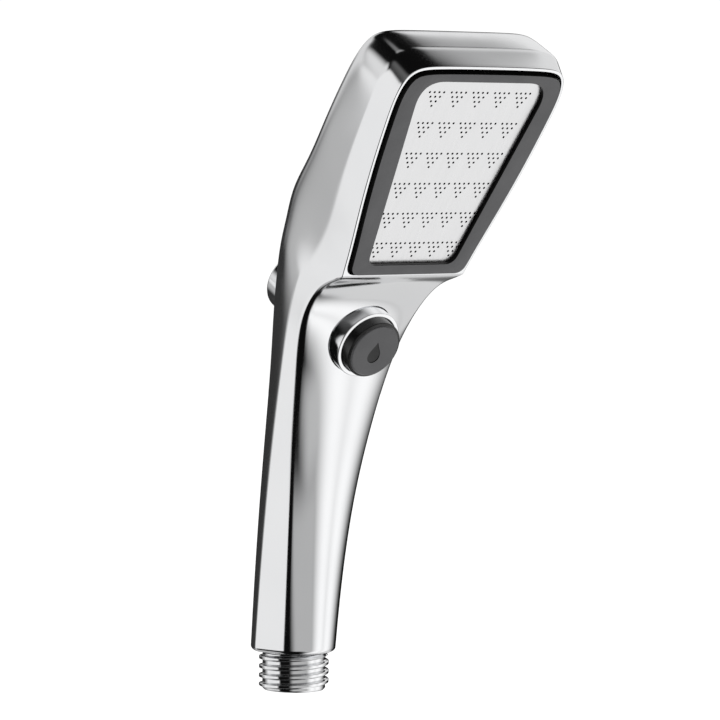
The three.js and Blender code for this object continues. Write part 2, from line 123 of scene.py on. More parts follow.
def tidy(bm):
    """Merges doubled points, drops slivers and turns every face outwards."""
    bmesh.ops.remove_doubles(bm, verts=bm.verts, dist=MERGE)
    bmesh.ops.dissolve_degenerate(bm, edges=bm.edges, dist=SLIVER)
    bmesh.ops.recalc_face_normals(bm, faces=bm.faces)
    return bm


def moved(bm, matrix):
    bmesh.ops.transform(bm, matrix=matrix, verts=bm.verts)
    return bm


def sheet(columns, rows, place):
    """A grid whose points go where place(column, row) says."""
    bm = bmesh.new()
    bmesh.ops.create_grid(bm, x_segments=columns, y_segments=rows, size=1)
    for v in bm.verts:
        column = round((v.co.x + 1) / 2 * columns)
        row = round((v.co.y + 1) / 2 * rows)
        v.co = place(column, row)
    return bm


def cylinder(radius, low, high, sides=96):
    bm = bmesh.new()
    place = Matrix.Translation((0, 0, (low + high) / 2))
    bmesh.ops.create_cone(
        bm, cap_ends=True, segments=sides, radius1=radius, radius2=radius,
        depth=high - low, matrix=place,
    )
    return bm


def prism(outline, low, high):
    """A flat outline raised from low to high."""
    bm = bmesh.new()
    face = bm.faces.new([bm.verts.new((x, y, low)) for x, y in outline])
    raised = bmesh.ops.extrude_face_region(bm, geom=[face])["geom"]
    points = [item for item in raised if isinstance(item, bmesh.types.BMVert)]
    bmesh.ops.translate(bm, vec=(0, 0, high - low), verts=points)
    bmesh.ops.recalc_face_normals(bm, faces=bm.faces)
    return bm


def rounded(corners, steps=4):
    """A profile of [radius, height, rounding] corners with an arc at each rounding."""
    points = []
    for k, (r, z, rounding) in enumerate(corners):
        here = Vector((r, z))
        if rounding == 0:
            points.append(here)
            continue
        before = Vector(corners[k - 1][:2])
        after = Vector(corners[(k + 1) % len(corners)][:2])
        start = here + (before - here).normalized() * rounding
        end = here + (after - here).normalized() * rounding
        for step in range(steps + 1):
            f = step / steps
            points.append(start * (1 - f) ** 2 + here * 2 * f * (1 - f) + end * f**2)
    return points


def turned(corners, steps=120):
    """A body turned about Z from a profile that closes on itself, or starts and ends on the axis."""
    bm = bmesh.new()
    verts = [bm.verts.new((p.x, 0, p.y)) for p in rounded(corners)]
    edges = [bm.edges.new(pair) for pair in zip(verts, verts[1:])]
    if corners[0][0] > 0:
        edges.append(bm.edges.new((verts[-1], verts[0])))
    bmesh.ops.spin(
        bm, geom=verts + edges, cent=(0, 0, 0), axis=UP, angle=2 * pi, steps=steps, use_merge=True
    )
    return tidy(bm)


def finish(bm, name, body, replaced, materials, sharp=35):
    """Turns the shape into a finished piece that rides on a body and stands for a CAD node."""
    bmesh.ops.scale(bm, vec=(MM, MM, MM), verts=bm.verts)
    for face in bm.faces:
        face.smooth = True
    piece = new_object(name, bm)
    piece.data.set_sharp_from_angle(angle=radians(sharp))
    for material in materials:
        piece.data.materials.append(material)
    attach(piece, body)
    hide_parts(replaced)
    return piece


def clamp(value):
    return max(0, min(1, value))


def blend(a, b, f):
    return a * (1 - f) + b * f


# ---- materials ----
NOISE_LOW = 0.3  # most of the noise lies between these two
NOISE_HIGH = 0.7


def grey(level):
    return (level, level, level)


def start_material(name):
    material = bpy.data.materials.new(name)
    material.use_nodes = True
    nodes = material.node_tree.nodes
    return material, nodes, material.node_tree.links, nodes["Principled BSDF"]


def add_noise(nodes, links, scale, detail=3, stretch=(1, 1, 1)):
    place = nodes.new("ShaderNodeTexCoord")
    mapping = nodes.new("ShaderNodeMapping")
    mapping.inputs["Scale"].default_value = stretch
    noise = nodes.new("ShaderNodeTexNoise")
    noise.inputs["Scale"].default_value = scale
    noise.inputs["Detail"].default_value = detail
    links.new(place.outputs["Object"], mapping.inputs["Vector"])
    links.new(mapping.outputs["Vector"], noise.inputs["Vector"])
    return noise


def vary(nodes, links, noise, socket, low, high):
    """Lets the noise move a value between low and high."""
    ramp = nodes.new("ShaderNodeMapRange")
    ramp.inputs["From Min"].default_value = NOISE_LOW
    ramp.inputs["From Max"].default_value = NOISE_HIGH
    ramp.inputs["To Min"].default_value = low
    ramp.inputs["To Max"].default_value = high
    links.new(noise.outputs["Fac"], ramp.inputs["Value"])
    links.new(ramp.outputs["Result"], socket)


def tint(nodes, links, noise, shader, dark, light):
    """Lets the noise move the colour between dark and light."""
    ramp = nodes.new("ShaderNodeValToRGB")
    ramp.color_ramp.elements[0].position = NOISE_LOW
    ramp.color_ramp.elements[0].color = (*dark, 1)
    ramp.color_ramp.elements[1].position = NOISE_HIGH
    ramp.color_ramp.elements[1].color = (*light, 1)
    links.new(noise.outputs["Fac"], ramp.inputs["Fac"])
    links.new(ramp.outputs["Color"], shader.inputs["Base Color"])


def roughen(nodes, links, noise, shader, distance, strength):
    bump = nodes.new("ShaderNodeBump")
    bump.inputs["Distance"].default_value = distance
    bump.inputs["Strength"].default_value = strength
    links.new(noise.outputs["Fac"], bump.inputs["Height"])
    links.new(bump.outputs["Normal"], shader.inputs["Normal"])


def chrome_plate(name, smoothest, dullest):
    """Polished chrome whose gloss and tone drift slightly over the surface."""
    material, nodes, links, shader = start_material(name)
    shader.inputs["Metallic"].default_value = 1
    haze = add_noise(nodes, links, 90, detail=4)
    vary(nodes, links, haze, shader.inputs["Roughness"], smoothest, dullest)
    drift = add_noise(nodes, links, 35)
    tint(nodes, links, drift, shader, (0.84, 0.845, 0.855), (0.87, 0.873, 0.88))
    return material


def satin_steel(name):
    material, nodes, links, shader = start_material(name)
    shader.inputs["Metallic"].default_value = 1
    grain = add_noise(nodes, links, 900, detail=5, stretch=(1, 0.12, 0.12))
    vary(nodes, links, grain, shader.inputs["Roughness"], 0.26, 0.38)
    tint(nodes, links, grain, shader, (0.8, 0.8, 0.805), (0.86, 0.86, 0.865))
    roughen(nodes, links, grain, shader, 0.00002, 0.15)
    return material


def moulded(name, dark, light, roughness, grain_scale=1500, grain=0.2):
    """Moulded plastic or rubber with a fine grain and a slight unevenness of colour."""
    material, nodes, links, shader = start_material(name)
    skin_grain = add_noise(nodes, links, grain_scale, detail=2)
    tint(nodes, links, add_noise(nodes, links, 120), shader, dark, light)
    wear = add_noise(nodes, links, 200)
    vary(nodes, links, wear, shader.inputs["Roughness"], roughness - 0.04, roughness + 0.04)
    roughen(nodes, links, skin_grain, shader, 0.00003, grain)
    return material


def turned_brass():
    material, nodes, links, shader = start_material("turned_brass")
    shader.inputs["Metallic"].default_value = 1
    grain = add_noise(nodes, links, 600, detail=4, stretch=(0.15, 1, 1))
    vary(nodes, links, grain, shader.inputs["Roughness"], 0.25, 0.38)
    tint(nodes, links, grain, shader, (0.6, 0.43, 0.18), (0.7, 0.52, 0.24))
    return material


def lit_paper():
    """White studio paper, lit through from below so that it is even."""
    material, nodes, links, shader = start_material("lit_paper")
    tint(nodes, links, add_noise(nodes, links, 4), shader, grey(0.93), grey(0.95))
    shader.inputs["Roughness"].default_value = 0.9
    shader.inputs["Emission Color"].default_value = (1, 1, 1, 1)
    shader.inputs["Emission Strength"].default_value = 1
    return material


def set_shine(material, level):
    shader = material.node_tree.nodes["Principled BSDF"]
    shader.inputs["Specular IOR Level"].default_value = level


SHELL_CHROME = chrome_plate("shell_chrome", 0.1, 0.14)
FITTING_CHROME = chrome_plate("fitting_chrome", 0.08, 0.11)
PLATE_STEEL = satin_steel("plate_steel")
SCREW_STEEL = satin_steel("screw_steel")
RING_PLASTIC = moulded("ring_plastic", (0.075, 0.075, 0.078), (0.088, 0.088, 0.091), 0.42)
# Near-black painted shade and dark reflection for the ring's side walls and bevels; the ring's own
# plastic is the grey above.
RING_WALL_SHADE = moulded("ring_wall_painted_shade", grey(0.006), grey(0.009), 0.3)
set_shine(RING_WALL_SHADE, 0.2)
# Near-black painted shade and dark reflection for the stop button's side wall; the button's own
# plastic is the grey cap colour.
CAP_SIDE_SHADE = moulded("cap_side_painted_shade", grey(0.006), grey(0.009), 0.28)
# Near-black painted shade inside the spray holes; the holes are bare steel.
HOLE_SHADE = moulded("hole_painted_shade", grey(0.002), grey(0.004), 0.9)
set_shine(HOLE_SHADE, 0)
CAP_PLASTIC = moulded("cap_plastic", (0.07, 0.07, 0.073), (0.082, 0.082, 0.085), 0.38)
MARK_PAINT = moulded("mark_paint", grey(0.008), grey(0.014), 0.5)
INNER_PLASTIC = moulded("inner_plastic", (0.62, 0.62, 0.6), (0.7, 0.7, 0.68), 0.5)
BRASS = turned_brass()
RUBBER = moulded("seal_rubber", grey(0.018), grey(0.03), 0.7, grain_scale=900, grain=0.4)
NODE_MATERIALS = {
    "chrome_shell": SHELL_CHROME,
    "chrome_fittings": FITTING_CHROME,
    "spray_steel": PLATE_STEEL,
    "fastener_steel": SCREW_STEEL,
    "anthracite_ring": RING_PLASTIC,
    "grey_caps": CAP_PLASTIC,
    "inner_plastic": INNER_PLASTIC,
    "valve_brass": BRASS,
    "rubber": RUBBER,
}


def dress_nodes():
    """Gives every CAD node the material of its slot in the record."""
    for part in frame["record"]["subparts"]:
        node = frame["nodes"][part["node"]]
        material = NODE_MATERIALS[part["material_slot"]]
        if not node.material_slots:
            node.data.materials.append(material)
        for place in node.material_slots:
            place.material = material


# ---- the casing's guide curves ----
# Stations run up the handle, along the head's side and over its top to the middle. Each holds
# front: middle of the front, crease: front edge, belt: widest line, corner and back: the rear
# edge and the middle of the rear, pinch: how square the rear edge is.
KEYS = ("front", "crease", "belt", "corner", "back")


def on_handle(heights, front_y, crease, belt, back_y, corner_x, pinch):
    front_z, belt_z, back_z = heights
    return {
        "front": Vector((0, front_y, front_z)),
        "crease": Vector((*crease, front_z)),
        "belt": Vector((*belt, belt_z)),
        "corner": Vector((corner_x, back_y, back_z)),
        "back": Vector((0, back_y, back_z)),
        "pinch": pinch,
    }


def on_head(front_y, crease, belt, back, corner, pinch):
    return {
        "front": FACE @ Vector((0, front_y, 0)),
        "crease": FACE @ Vector((*crease, 0)),
        "belt": FACE @ Vector(belt),
        "corner": FACE @ Vector(corner),
        "back": FACE @ Vector((0, *back)),
        "pinch": pinch,
    }


STATIONS = [
    on_handle((13.1, 13.1, 13.1), -12.8, (9.9, -7.7), (12.5, 2.6), 12.1, 10.5, 1.08),
    on_handle((32, 32, 32), -14, (10.6, -9.3), (12.1, 1.4), 11.5, 10, 1.12),
    on_handle((57, 57, 57), -16.8, (12.2, -12.5), (12.9, -2.4), 8.9, 10.5, 1.13),
    on_handle((79.5, 80, 80), -21.5, (14.9, -17.2), (15.1, -8.6), 4.6, 12.3, 1.17),
    on_handle((100.9, 100, 101), -27.3, (17.7, -23.6), (18.2, -16.4), -0.8, 14.9, 1.41),
    on_handle((114.6, 115, 117), -33, (21.4, -29.8), (20.9, -22.4), -5, 17.2, 1.9),
    on_handle((123.2, 125, 128), -40.7, (22.4, -39.1), (22, -27.8), -8.8, 19.3, 2.2),
    on_handle((125.1, 128.2, 137), -46.9, (23, -46.8), (22.2, -31), -13, 22.2, 2.2),
    on_head(-0.7, (22.6, -0.7), (22.8, -3, -13.6), (-1.5, -36), (23, -1.5, -36), 3.2),
    on_head(9, (23.9, 9), (24.4, 7.5, -11.6), (8, -36), (24, 8, -36), 5),
    on_head(20, (26.6, 23), (27.5, 23, -10.6), (22, -30), (26.5, 22, -30), 7),
    on_head(28, (28.8, 38), (30, 38, -8.3), (32, -28), (28.8, 37, -27.4), 8),
    on_head(35, (30.1, 52), (31.4, 52, -6.8), (40, -26.4), (30.4, 52, -24.8), 8),
    on_head(40, (30.8, 62), (32.3, 63, -6.3), (45, -25.4), (31.6, 62.5, -22.3), 8),
    on_head(42, (28.2, 69.6), (30.6, 71.3, -6.8), (48, -24.8), (30.2, 70.6, -20.2), 8),
    on_head(43, (19, 70.3), (20, 71.6, -7.6), (49, -24.6), (20, 71.2, -19.9), 8),
    on_head(43, (0, 70.4), (0, 71.5, -7.8), (49.5, -24.5), (0, 71.2, -19.8), 8),
]
TOP = len(STATIONS) - 1  # last station, on the plane of symmetry
FACE_START = 8  # station at the lower edge of the spray face, where the front guides bend
BEND_BELOW = 0.2  # the bend is rounded from this far below it, in stations
BEND_ABOVE = 0.05
BEND_ROWS = 8


def spline_weights(f):
    sixths = ((1 - f) ** 3, 3 * f**3 - 6 * f**2 + 4, -3 * f**3 + 3 * f**2 + 3 * f + 1, f**3)
    return [weight / 6 for weight in sixths]


def station_point(key, index):
    if index <= TOP:
        return STATIONS[index][key].copy()
    point = STATIONS[2 * TOP - index][key].copy()
    point.x *= -1
    return point


def beyond(key, end, index):
    """A station past the end of a curve, mirrored through that end."""
    return 2 * station_point(key, end) - station_point(key, 2 * end - index)


def spline(key, t):
    """A point of a guide. The front guides break off at the face's lower edge and start again."""
    first = min(floor(t), TOP - 1)
    bends = key in ("front", "crease")
    total = Vector((0, 0, 0))
    for k, weight in enumerate(spline_weights(t - first)):
        index = first + k - 1
        past_bend = index > FACE_START if first < FACE_START else index < FACE_START
        if index < 0:
            point = beyond(key, 0, index)
        elif bends and past_bend:
            point = beyond(key, FACE_START, index)
        else:
            point = station_point(key, index)
        total += weight * point
    return total


def bezier(a, b, c, f):
    return a * (1 - f) ** 2 + b * 2 * f * (1 - f) + c * f**2


def guide(key, t):
    """A point of a guide, with the bend at the face's lower edge rounded."""
    low = FACE_START - BEND_BELOW
    high = FACE_START + BEND_ABOVE
    if key not in ("front", "crease") or not low < t < high:
        return spline(key, t)
    ends = spline(key, low), spline(key, FACE_START), spline(key, high)
    return bezier(*ends, (t - low) / (high - low))


def pinch_at(t):
    first = min(floor(t), TOP - 1)
    total = 0
    for k, weight in enumerate(spline_weights(t - first)):
        total += weight * STATIONS[max(0, min(TOP, first + k - 1))]["pinch"]
    return total


# How much more than the wall each guide moves in, so that the wall keeps its thickness at edges.
INWARD_PULL = {"front": 1, "crease": 1.35, "belt": 1.05, "corner": 1.35, "back": 1}


def inset_guides(t, inset):
    points = {key: guide(key, t) for key in KEYS}
    middle = (points["front"] + points["back"]) / 2
    if inset > 0:
        for key, point in points.items():
            point += (middle - point).normalized() * inset * INWARD_PULL[key]
    return points


def conic(a, b, c, weight, f):
    wa = (1 - f) ** 2
    wb = 2 * f * (1 - f) * weight
    wc = f**2
    return (a * wa + b * wb + c * wc) / (wa + wb + wc)


def ease(f, power):
    return f**power / (f**power + (1 - f) ** power)


HANDLE_CREASE = 1.5  # rounding of the front edge: wide on the handle, tight round the rim
HEAD_CREASE = 0.28
CREASE_CHANGE = 0.45  # it changes over this many stations, up to the face's lower edge
HANDLE_BELT = 0.6  # rounding of the widest line: crisp on the handle, softer round the head
HEAD_BELT = 1.3
BELT_CHANGE = 2  # it changes over this many stations, half of them on the head
CROWN_REACH = 0.6  # how far out the front bows before it turns to its edge


def crease_round(t):
    return blend(HANDLE_CREASE, HEAD_CREASE, clamp((t - FACE_START + CREASE_CHANGE) / CREASE_CHANGE))


def belt_round(t):
    return blend(HANDLE_BELT, HEAD_BELT, clamp((t - FACE_START + BELT_CHANGE / 2) / BELT_CHANGE))


def section(t, inset, steps):
    """Points from the middle of the front round one side to the middle of the rear."""
    g = inset_guides(t, inset)
    front_steps, edge_steps, side_steps, rear_steps = steps
    crown = Vector((CROWN_REACH * g["crease"].x, g["front"].y, g["front"].z))
    pinch = pinch_at(t)
    side = g["belt"] - g["crease"]
    front = (g["front"], crown, g["crease"], 1)
    rear = (g["belt"], g["corner"], g["back"], pinch)
    front_end = 1 - crease_round(t) / (2 * (g["crease"] - crown).length)
    rear_start = belt_round(t) / (2 * pinch * (g["corner"] - g["belt"]).length)
    side_start = g["crease"] + side.normalized() * crease_round(t)
    side_end = g["belt"] - side.normalized() * belt_round(t)
    crease_arc = (conic(*front, front_end), g["crease"], side_start)
    belt_arc = (side_end, g["belt"], conic(*rear, rear_start))
    power = 1 + clamp((pinch - 1) / 3)
    points = [conic(*front, front_end * k / front_steps) for k in range(front_steps)]
    points += [bezier(*crease_arc, k / edge_steps) for k in range(edge_steps)]
    points += [side_start.lerp(side_end, k / side_steps) for k in range(side_steps)]
    points += [bezier(*belt_arc, k / edge_steps) for k in range(edge_steps)]
    for k in range(rear_steps + 1):
        points.append(conic(*rear, rear_start + (1 - rear_start) * ease(k / rear_steps, power)))
    for point in (points[0], points[-1]):
        point.x = 0
    return points


END_ROUND = 1.4  # the handle's lower end is rounded over this height
END_RADIUS = 12


def end_sections(base, steps):
    """Sections that round the handle's lower end off, lowest first."""
    middle = (base[0] + base[-1]) / 2
    rows = []
    for k in range(steps):
        turn = pi / 2 * (1 - k / steps)
        scale = 1 - END_ROUND / END_RADIUS * (1 - cos(turn))
        rows.append([middle + (p - middle) * scale - UP * END_ROUND * sin(turn) for p in base])
    return rows


def skin_body(start, inset, rows_per_station, steps, end_steps):
    """A closed body inside the casing's skin, from station start to the top."""
    count = (TOP - start) * rows_per_station
    stations = [start + k / rows_per_station for k in range(count + 1)]
    if inset == 0:
        low = FACE_START - BEND_BELOW
        high = FACE_START + BEND_ABOVE
        stations = [t for t in stations if not low <= t <= high]
        stations += [low + (high - low) * k / BEND_ROWS for k in range(BEND_ROWS + 1)]
        stations.sort()
    sections = [section(t, inset, steps) for t in stations]
    if end_steps:
        sections = end_sections(sections[0], end_steps) + sections
    for point in sections[-1]:
        point.x = 0
    columns, rows = len(sections[0]) - 1, len(sections) - 1
    bm = sheet(columns, rows, lambda column, row: sections[row][column])
    bmesh.ops.mirror(bm, geom=bm.verts[:] + bm.edges[:] + bm.faces[:], axis="X", merge_dist=MERGE)
    bmesh.ops.remove_doubles(bm, verts=bm.verts, dist=MERGE)
    open_edges = [edge for edge in bm.edges if edge.is_boundary]
    bmesh.ops.holes_fill(bm, edges=open_edges, sides=0)
    return tidy(bm)


# ---- outlines on the spray face ----
LIP = 1.3  # width of the casing's rim around the face
LIP_SHOWN = 0.8  # the rim is a little thinner where the ring's groove widens at the front
SIDE_LEAN = 0.14  # how much the face's sides lean outwards just above its lower corners
NUDGE = 0.01
ARC_STEPS = 12
FOOT_STEPS = 10
# The window of the face ring: half width, height on the face and rounding, below and above.
WINDOW_BELOW = (16, 3.9, 3.2)
WINDOW_ABOVE = (23.9, 65.9, 8.5)


def rim_outline(inset, corner, steps=14):
    """The rim's outline moved inwards, as points in the face's frame."""
    to_face = FACE.inverted()
    side = []
    count = (TOP - FACE_START) * steps
    for k in range(steps // 2, count + 1):
        t = FACE_START + k / steps
        here = to_face @ spline("crease", t)
        run = to_face @ spline("crease", min(t + NUDGE, TOP)) - to_face @ spline("crease", t - NUDGE)
        inward = Vector((-run.y, run.x)).normalized()
        side.append(Vector((here.x, here.y)) + inset * inward)
    side[-1].x = 0
    low = max(inset - LIP, 0)
    reach = (side[1].x - side[0].x) * (side[0].y - low) / (side[1].y - side[0].y)
    foot = Vector((side[0].x - reach, low))
    arc = (foot - Vector((corner, 0)), foot, foot + Vector((SIDE_LEAN * corner, corner)))
    half = [bezier(*arc, k / FOOT_STEPS) for k in range(FOOT_STEPS + 1)] + side
    points = [(p.x, p.y) for p in half]
    return points + [(-x, y) for x, y in reversed(points[:-1])]


def window_outline(grow):
    """A rounded trapezium, wider at the top: the window of the face ring, grown all round."""
    low_half, low, low_round = WINDOW_BELOW
    high_half, high, high_round = WINDOW_ABOVE
    foot = Vector((low_half + grow, low - grow))
    shoulder = Vector((high_half + grow, high + grow))
    lean = (shoulder - foot) / (shoulder.y - foot.y)
    inwards = Vector((-1, 0))
    low_round += grow
    high_round += grow
    arcs = [
        (foot + inwards * low_round, foot, foot + lean * low_round),
        (shoulder - lean * high_round, shoulder, shoulder + inwards * high_round),
    ]
    half = [bezier(*arc, k / ARC_STEPS) for arc in arcs for k in range(ARC_STEPS + 1)]
    points = [(p.x, p.y) for p in half]
    return points + [(-x, y) for x, y in reversed(points)]


# ---- head pieces ----
RING_FRONT = 1
RING_BACK = -3.6
PLATE_FRONT = -0.2
PLATE_BACK = -1
REBATE_FRONT = 0
REBATE = 1.8  # how far the plate reaches under the ring
RING_PLAY = 0.6  # from the rim's inner wall to the ring
RING_CORNER = 3.2
RIM_CORNER = 3.6
RING_BEVEL = 0.22
FRONT_FACING = 0.75  # ring faces turned further aside than this are its walls, which get near-black painted shade
HOLE_RADIUS = 0.37
HOLE_PITCH = 1.734
HOLE_WALL_AREA = 0.4  # the walls of the holes are smaller than this, the plate's edge is larger
GROUP_LINES = 4
GROUP_ROWS = 6
FIRST_ROW = 10.75  # height of the lowest row on the face
ROW_PITCH = 10.2
GROUP_PITCH = 6.98
GROUP_SPREAD = 0.2  # the groups stand this much further apart in each row up
TRAY_BACK = -9
SCREW_PLACES = ((-16, 56, -22.2), (16, 56, -22.2), (-12.5, 9.5, -32.6), (12.5, 9.5, -32.6))
POST_RADIUS = 3.2
PILOT_RADIUS = 1.6
PILOT_END = -20


def bevel_edges(bm, width, segments, smallest=40):
    """Rounds every edge that turns more than smallest degrees."""
    pairs = [edge for edge in bm.edges if len(edge.link_faces) == 2]
    sharp = [edge for edge in pairs if edge.calc_face_angle(0) > radians(smallest)]
    bmesh.ops.bevel(
        bm, geom=sharp, offset=width, affect="EDGES", segments=segments, profile=0.5,
        material=-1, clamp_overlap=True,
    )


def make_ring():
    body = prism(rim_outline(LIP + RING_PLAY, RING_CORNER), RING_BACK, RING_FRONT)
    opening = prism(window_outline(0), RING_BACK - 1, RING_FRONT + 1)
    rebate = prism(window_outline(REBATE + GAP), RING_BACK - 1, REBATE_FRONT)
    body = combine(body, [opening, rebate])
    bmesh.ops.dissolve_limit(body, angle_limit=radians(0.5), verts=body.verts, edges=body.edges)
    bevel_edges(body, RING_BEVEL, 3)
    for face in body.faces:
        # The ring's walls and bevels get the near-black painted shade instead of the ring's own
        # grey.
        if face.normal.z < FRONT_FACING:
            face.material_index = 1
    materials = [RING_PLASTIC, RING_WALL_SHADE]
    return finish(moved(body, FACE), "ring", "body", "face_ring", materials)


def hole_places():
    """6 rows of 5 groups, each a triangle of 4 + 3 + 2 + 1 holes pointing down."""
    places = []
    for row in range(GROUP_ROWS):
        top = FIRST_ROW + ROW_PITCH * row
        group_step = GROUP_PITCH + GROUP_SPREAD * row
        for group in range(-2, 3):
            for line in range(GROUP_LINES):
                start = group * group_step - (GROUP_LINES - 1 - line) / 2 * HOLE_PITCH
                height = top - line * (HOLE_PITCH * sqrt(3) / 2)
                places += [(start + k * HOLE_PITCH, height) for k in range(GROUP_LINES - line)]
    return places


def make_plate():
    body = prism(window_outline(REBATE), PLATE_BACK, PLATE_FRONT)
    drills = bmesh.new()
    for x, y in hole_places():
        bmesh.ops.create_cone(
            drills, cap_ends=True, segments=16, radius1=HOLE_RADIUS, radius2=HOLE_RADIUS, depth=3,
            matrix=Matrix.Translation((x, y, (PLATE_FRONT + PLATE_BACK) / 2)),
        )
    body = combine(body, [drills])
    for face in body.faces:
        # The walls of the holes get the near-black painted shade.
        if abs(face.normal.z) < 0.5 and face.calc_area() < HOLE_WALL_AREA:
            face.material_index = 1
    materials = [PLATE_STEEL, HOLE_SHADE]
    return finish(moved(body, FACE), "plate", "body", "spray_plate", materials)


# ---- casing ----
SOCKET_RADIUS = 9.6
SOCKET_BOTTOM = 6
SOCKET_TOP = 37
COLLAR_RADIUS = 10.7
REAR_RADIUS = 10.5
SKIRT_FRONT = 29.8
WALL = 2.2
OUTSIDE = 60  # a depth well clear of the casing's rear
OUTER_STEPS = (14, 7, 6, 32)  # steps of a section: front, each rounded edge, side, rear
INNER_STEPS = (6, 1, 2, 12)


def make_casing():
    body = skin_body(0, 0, 14, OUTER_STEPS, 5)
    hollow = skin_body(1, WALL, 3, INNER_STEPS, 0)
    body = combine(body, [hollow])
    posts = []
    for x, y, foot in SCREW_PLACES:
        place = FACE @ Matrix.Translation((x, y, 0))
        posts.append(moved(cylinder(POST_RADIUS, foot, TRAY_BACK - GAP, 32), place))
    body = combine(body, posts, "UNION")
    cuts = [
        moved(prism(rim_outline(LIP_SHOWN, RIM_CORNER), TRAY_BACK - GAP, 4), FACE),
        cylinder(SOCKET_RADIUS, SOCKET_BOTTOM, SOCKET_TOP),
        moved(cylinder(COLLAR_RADIUS + GAP, -2, 16), VALVE),
        moved(cylinder(REAR_RADIUS + GAP, SKIRT_FRONT - GAP, OUTSIDE), VALVE),
    ]
    for x, y, _ in SCREW_PLACES:
        place = FACE @ Matrix.Translation((x, y, 0))
        cuts.append(moved(cylinder(PILOT_RADIUS, PILOT_END, 0, 24), place))
    body = combine(body, cuts)
    return finish(body, "shell", "body", "casing", [SHELL_CHROME])


# ---- inlet ----
CREST = 10.48
ROOT = 9.45
PITCH = 2.76
BORE = 7.2
OUTLET = 5.2
TENON = 9.2
SEAL_GROOVE = (7.9, 19.6, 22.2)  # radius at its bottom, and its two ends
SHOULDER = 12.7
ADAPTER_TOP = 30
THREAD_LOW = 0.5
THREAD_HIGH = 11.2
THREAD_START = 3  # height of a crest on the +X side
TOOTH_HALF = 0.88
FLANK = 0.5
RUN_IN = 0.7
RUN_OUT = 0.9
THREAD_ROWS = 132
THREAD_COLUMNS = 128
SAME = 1e-6


def thread_height(z, turn):
    """How far the thread stands out, from 0 at the root to 1 at the crest."""
    along = (z - THREAD_START - PITCH * turn) / PITCH
    from_crest = abs(along - round(along)) * PITCH
    tooth = clamp((TOOTH_HALF - from_crest) / FLANK)
    tooth = tooth * tooth * (3 - 2 * tooth)
    return tooth * clamp((z - THREAD_LOW) / RUN_IN) * clamp((THREAD_HIGH - z) / RUN_OUT)


def make_adapter():
    span = THREAD_HIGH - THREAD_LOW
    groove, groove_low, groove_high = SEAL_GROOVE
    profile = rounded([
        (BORE, SHOULDER, 0), (BORE, 0, 0.3), (ROOT - 0.5, 0, 0), (ROOT, THREAD_LOW, 0),
        (ROOT, THREAD_HIGH, 0), (TENON, THREAD_HIGH + 0.2, 0), (TENON, groove_low, 0),
        (groove, groove_low, 0), (groove, groove_high, 0), (TENON, groove_high, 0),
        (TENON, ADAPTER_TOP - 0.6, 0), (8.6, ADAPTER_TOP, 0), (OUTLET, ADAPTER_TOP, 0),
        (OUTLET, SHOULDER, 0),
    ])
    end = Vector((ROOT, THREAD_HIGH))
    top = next(k for k, point in enumerate(profile) if (point - end).length < SAME)
    rows = range(1, THREAD_ROWS)
    profile[top:top] = [Vector((ROOT, THREAD_LOW + span * k / THREAD_ROWS)) for k in rows]
    profile.append(profile[0].copy())

    def place(column, row):
        turn = column / THREAD_COLUMNS
        radius, z = profile[row]
        if abs(radius - ROOT) < SAME and THREAD_LOW < z < THREAD_HIGH:
            radius += (CREST - ROOT) * thread_height(z, turn)
        return Vector((radius * cos(2 * pi * turn), radius * sin(2 * pi * turn), z))

    body = tidy(sheet(THREAD_COLUMNS, len(profile) - 1, place))
    materials = [FITTING_CHROME]
    return finish(body, "inlet", "body", "inlet_adapter", materials, sharp=50)


SCREEN_LOW = 8.35
SCREEN_HIGH = 9.25
SCREEN_OPENING = 5.9
WIRE_RADIUS = 0.16
WIRE_PITCH = 1.05
WIRE_REACH = 6.2  # the wires end inside the rim
WIRE_HEIGHTS = (8.72, 8.94)  # of the wires along X and along Y


def make_screen():
    """A round wire screen: crossed wires held in a flat rim."""
    outside = BORE - GAP
    rim = turned([
        (SCREEN_OPENING, SCREEN_LOW, 0.1), (outside, SCREEN_LOW, 0.1), (outside, SCREEN_HIGH, 0.1),
        (SCREEN_OPENING, SCREEN_HIGH, 0.1),
    ], 96)
    wires = []
    for k in range(-5, 6):
        aside = k * WIRE_PITCH
        reach = sqrt(WIRE_REACH**2 - aside**2)
        wire = cylinder(WIRE_RADIUS, -reach, reach, 8)
        along_x = Matrix.Translation((0, aside, WIRE_HEIGHTS[0])) @ Matrix.Rotation(pi / 2, 4, "Y")
        along_y = Matrix.Translation((aside, 0, WIRE_HEIGHTS[1])) @ Matrix.Rotation(pi / 2, 4, "X")
        wires += [moved(wire.copy(), along_x), moved(wire, along_y)]
    body = combine(rim, wires, "UNION")
    return finish(body, "screen", "body", "filter_screen", [SCREW_STEEL])


# ---- valve pieces that show ----
CAP_RADIUS = 9.1  # both buttons: outside, hollow, stem and the stem's bore
CAP_HOLLOW = 7.7
STEM = 3.4
STEM_BORE = 2
MOUTH = 9.5  # both collars: the opening round the button and the one round the stem
STEM_OPENING = 6.2
REAR_END = 43
DROP_SIZE = 2.2
DROP_DEPTH = 0.35
DROP_RAISE = 0.8
BELLY_STEPS = 24
BELLY_DROP = 0.45


def drop_outline(size, steps=14):
    """A falling drop: two curved flanks from the tip down to a round belly."""
    flank = []
    for k in range(steps + 1):
        f = k / steps
        x = 3 * f * (1 - f) ** 2 * 0.35 + 3 * f**2 * (1 - f) + f**3
        y = 1.7 * (1 - f) ** 3 + 2.7 * f * (1 - f) ** 2 + 0.9 * f**2 * (1 - f) - BELLY_DROP * f**3
        flank.append((x * size, y * size))
    turns = [pi * k / BELLY_STEPS for k in range(1, BELLY_STEPS)]
    belly = [(cos(turn) * size, -(BELLY_DROP + sin(turn)) * size) for turn in turns]
    return flank + belly + [(-x, y) for x, y in reversed(flank[1:])]


